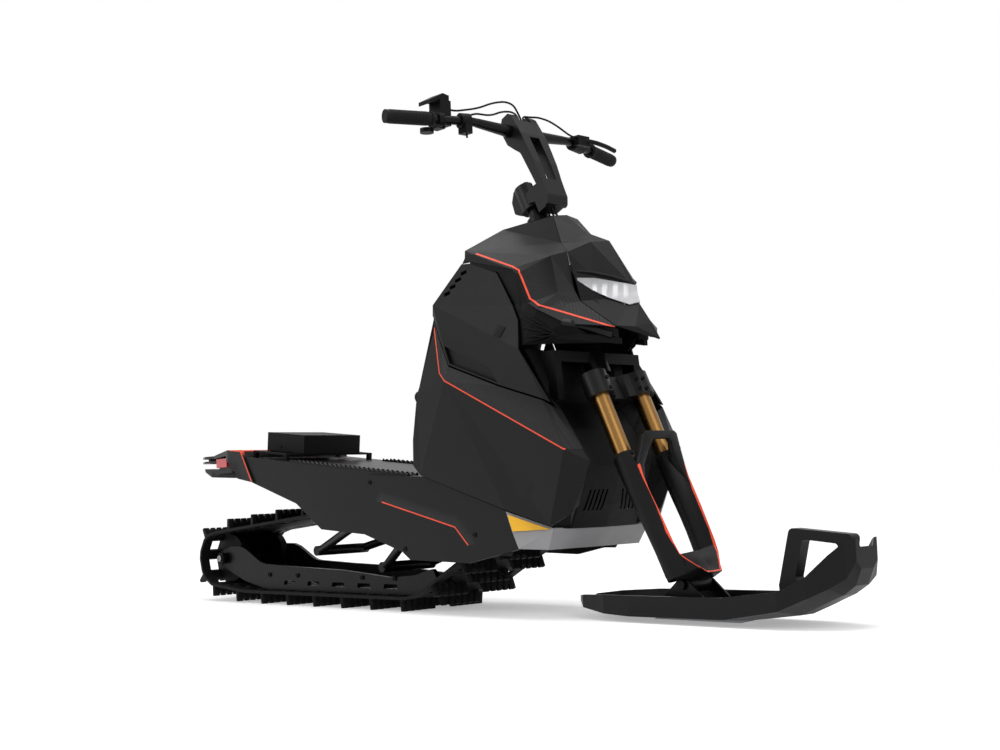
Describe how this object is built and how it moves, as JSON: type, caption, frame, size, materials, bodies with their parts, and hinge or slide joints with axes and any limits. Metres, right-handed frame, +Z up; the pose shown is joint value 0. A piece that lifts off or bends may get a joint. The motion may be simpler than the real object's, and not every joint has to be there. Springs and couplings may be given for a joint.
{
  "type": "single-ski tracked snowmobile",
  "caption": "Stand-up snowmobile: a long lugged rubber track under a sloping deck, facetted body tower, raked fork and one steered ski.",
  "frame": {"origin": "on the floor in the middle of the machine's bounding box", "axes": "+X forward towards the ski, +Y to the rider's left, +Z up"},
  "size_m": [2.3, 0.81, 1.2775],
  "materials": {
    "track_rubber": "moulded rubber",
    "rail_aluminium": "black anodised",
    "wheel_plastic": "moulded",
    "black_steel": "powder coated",
    "black_alloy": "anodised black",
    "tunnel_black": "satin paint",
    "black_plastic": "moulded",
    "body_black": "satin black",
    "belly_grey": "moulded grey",
    "red_lens": "tinted lens",
    "amber_lens": "tinted lens",
    "clear_lens": "clear lens",
    "cast_metal": "cast",
    "gold_tube": "gold anodised",
    "fork_black": "satin black",
    "grip_rubber": "moulded rubber",
    "cable_black": "smooth",
    "ski_plastic": "moulded",
    "bare_steel": "zinc plated"
  },
  "bodies": {
    "chassis": {"belly_pan": "belly_grey", "cargo_box": "black_plastic", "cowl": "body_black", "drive_axle": "wheel_plastic", "engine": "cast_metal", "front_arm": "black_steel", "front_shroud": "black_plastic", "front_wings": "black_plastic", "head_frame": "black_steel", "headlight": "clear_lens", "hood": "body_black", "inner_panel_left": "black_plastic", "inner_panel_right": "black_plastic", "lower_cover_left": "body_black", "lower_cover_right": "body_black", "rack_frame": "black_plastic", "rear_arm": "black_steel", "rear_axle": "wheel_plastic", "rear_bumper": "black_steel", "rear_panel": "body_black", "reflectors": "amber_lens", "shroud_frame": "black_plastic", "side_knob": "black_plastic", "side_panel_left": "body_black", "side_panel_right": "body_black", "slide_rails": "rail_aluminium", "tail_cap": "black_plastic", "tail_fascia": "black_plastic", "tail_lamp": "red_lens", "tail_tray": "black_plastic", "track": "track_rubber", "traction_strips": "black_steel", "tunnel": "tunnel_black", "upper_panel_left": "body_black", "upper_panel_right": "body_black", "wing_blades": "black_plastic"},
    "steering": {"steering_column": "black_steel", "fork_crown": "black_alloy", "stanchions": "gold_tube", "fork_lower": "fork_black", "stem": "black_alloy", "handlebar": "black_steel", "grips": "grip_rubber", "right_controls": "black_plastic", "left_controls": "black_plastic", "cable_throttle": "cable_black", "cable_switch": "cable_black", "cable_brake": "cable_black", "cables_low": "cable_black"},
    "ski_body": {"ski": "ski_plastic", "wear_bar": "bare_steel", "ski_saddle": "black_steel", "ski_bolt": "bare_steel", "ski_loop": "ski_plastic"}
  },
  "joints": [
    {"name": "steering", "type": "hinge", "parent": "chassis", "child": "steering", "pos_m": [0.262, 0, 0.977], "axis": [-0.4147, 0, 0.91], "range_deg": [-30, 30]},
    {"name": "ski_pivot", "type": "hinge", "parent": "steering", "child": "ski_body", "pos_m": [0.70945, 0, 0.08197], "axis": [0, 1, 0], "range_deg": [-12, 12]}
  ]
}
